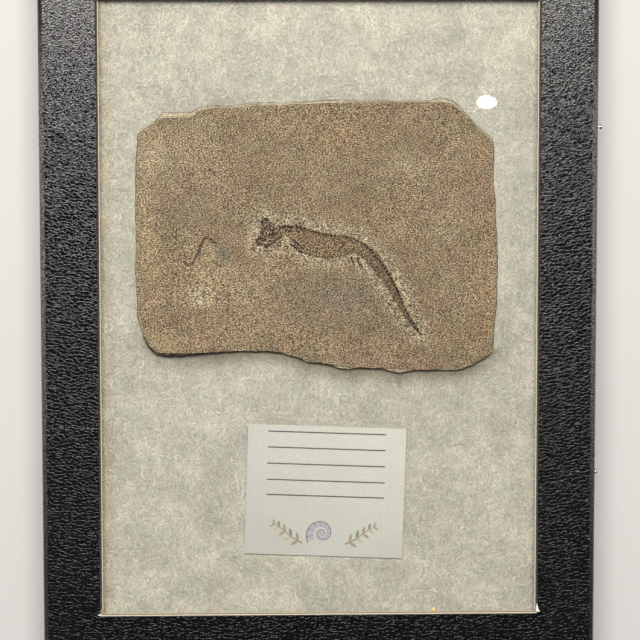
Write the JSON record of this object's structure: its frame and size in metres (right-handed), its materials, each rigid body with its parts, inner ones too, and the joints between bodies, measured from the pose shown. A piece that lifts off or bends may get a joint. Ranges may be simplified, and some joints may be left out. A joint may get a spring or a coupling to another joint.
{
  "type": "fossil branchiosaur in specimen case",
  "caption": "Flat glass-topped specimen case, padded with batting, that holds a stone slab bearing a small long-tailed amphibian fossil above a plain label card.",
  "frame": {"origin": "middle of the case's flat back, on the surface it lies on", "axes": "+Z out through the glass, +Y to the top of the case past the slab, +X to the right as the case is read"},
  "size_m": [0.1624, 0.2096, 0.0191],
  "materials": {
    "case_board": "board covered in black grained paper, slightly glossy",
    "window_glass": "clear flat glass",
    "batting": "loose cream fibre batting, matte",
    "stone": "fine sandy brown stone with a dark flattened fossil, matte",
    "card": "white card, matte, with blank ruled lines and a small plain printed motif",
    "pin_steel": "bright plated steel"
  },
  "bodies": {
    "root": {"lid": "case_board", "tray": "case_board", "glass": "window_glass", "batting": "batting", "fossil_slab": "stone", "label_card": "card", "pin_right_upper": "pin_steel", "pin_right_lower": "pin_steel", "pin_left_upper": "pin_steel", "pin_left_lower": "pin_steel"}
  },
  "joints": []
}
